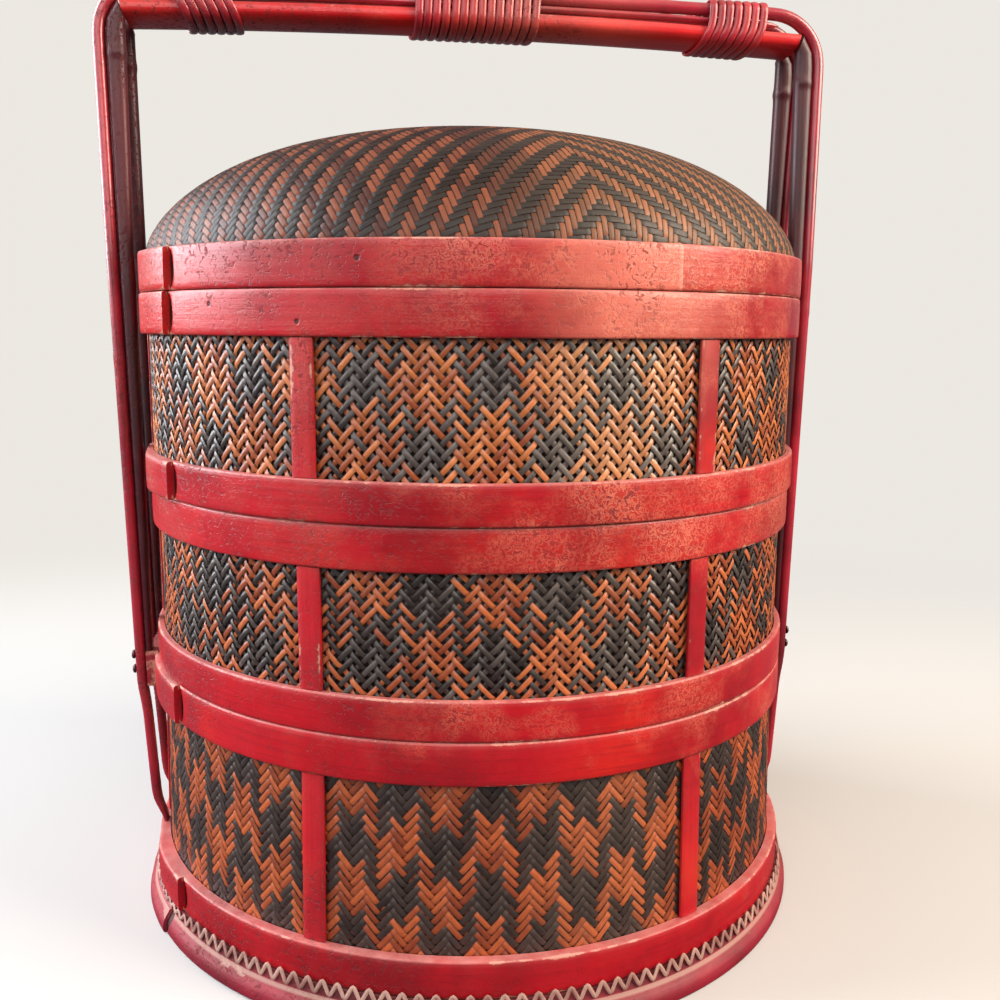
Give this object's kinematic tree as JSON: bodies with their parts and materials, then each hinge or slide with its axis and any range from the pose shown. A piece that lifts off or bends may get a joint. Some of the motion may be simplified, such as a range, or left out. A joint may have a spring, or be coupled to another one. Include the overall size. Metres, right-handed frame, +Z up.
{
  "type": "tiered bamboo food basket",
  "caption": "Round stacked food basket with woven bamboo walls between red lacquered hoops, a domed woven lid and a tall carrying frame with a bound grip",
  "frame": {"origin": "middle of the foot ring, on the surface that the basket stands on", "axes": "+X to the right upright of the carrying frame, -Y to the front, +Z up"},
  "size_m": [0.362, 0.3444, 0.4551],
  "materials": {
    "red_lacquer": "satin red lacquer over bamboo, crazed and worn at the edges",
    "dark_lacquer": "dark red lacquer over bamboo, dull",
    "woven_bamboo": "split bamboo strips in orange brown and black, woven, satin",
    "dark_woven_bamboo": "split bamboo strips in brown and black, woven in a herringbone, dusty",
    "plain_bamboo": "plain bamboo, matt",
    "aged_cane": "old lacquered cane with dust, matt",
    "red_rattan": "red lacquered rattan, satin"
  },
  "bodies": {
    "carrying_body": {"back_bail": "red_lacquer", "back_filler": "red_lacquer", "base_hoop": "red_lacquer", "crossbar": "red_lacquer", "foot_lacing": "aged_cane", "foot_ring": "aged_cane", "front_bail": "red_lacquer", "front_filler": "red_lacquer", "left_back_lower_peg": "dark_lacquer", "left_back_post": "dark_lacquer", "left_back_upper_peg": "dark_lacquer", "left_binding": "red_rattan", "left_block": "red_lacquer", "left_front_lower_peg": "dark_lacquer", "left_front_post": "dark_lacquer", "left_front_upper_peg": "dark_lacquer", "middle_binding": "red_rattan", "right_back_lower_peg": "dark_lacquer", "right_back_post": "dark_lacquer", "right_back_upper_peg": "dark_lacquer", "right_binding": "red_rattan", "right_block": "red_lacquer", "right_front_lower_peg": "dark_lacquer", "right_front_post": "dark_lacquer", "right_front_upper_peg": "dark_lacquer", "tier_3_batten_1": "red_lacquer", "tier_3_batten_2": "red_lacquer", "tier_3_batten_3": "red_lacquer", "tier_3_batten_4": "red_lacquer", "tier_3_batten_5": "red_lacquer", "tier_3_batten_6": "red_lacquer", "tier_3_collar": "plain_bamboo", "tier_3_floor": "plain_bamboo", "tier_3_rim_hoop": "red_lacquer", "tier_3_wall": "woven_bamboo"},
    "tier_2_body": {"tier_2_batten_1": "red_lacquer", "tier_2_batten_2": "red_lacquer", "tier_2_batten_3": "red_lacquer", "tier_2_batten_4": "red_lacquer", "tier_2_batten_5": "red_lacquer", "tier_2_batten_6": "red_lacquer", "tier_2_collar": "plain_bamboo", "tier_2_floor": "plain_bamboo", "tier_2_heel_hoop": "red_lacquer", "tier_2_rim_hoop": "red_lacquer", "tier_2_wall": "woven_bamboo"},
    "tier_1_body": {"tier_1_batten_1": "red_lacquer", "tier_1_batten_2": "red_lacquer", "tier_1_batten_3": "red_lacquer", "tier_1_batten_4": "red_lacquer", "tier_1_batten_5": "red_lacquer", "tier_1_batten_6": "red_lacquer", "tier_1_collar": "plain_bamboo", "tier_1_floor": "plain_bamboo", "tier_1_heel_hoop": "red_lacquer", "tier_1_rim_hoop": "red_lacquer", "tier_1_wall": "woven_bamboo"},
    "lid_body": {"lid_dome": "dark_woven_bamboo", "lid_hoop": "red_lacquer"}
  },
  "joints": [
    {"name": "tier_2_lift", "type": "slide", "parent": "carrying_body", "child": "tier_2_body", "axis": [0, 0, 1], "range_m": [0, 0.012]},
    {"name": "tier_1_lift", "type": "slide", "parent": "tier_2_body", "child": "tier_1_body", "axis": [0, 0, 1], "range_m": [0, 0.012]},
    {"name": "lid_lift", "type": "slide", "parent": "tier_1_body", "child": "lid_body", "axis": [0, 0, 1], "range_m": [0, 0.012]}
  ]
}
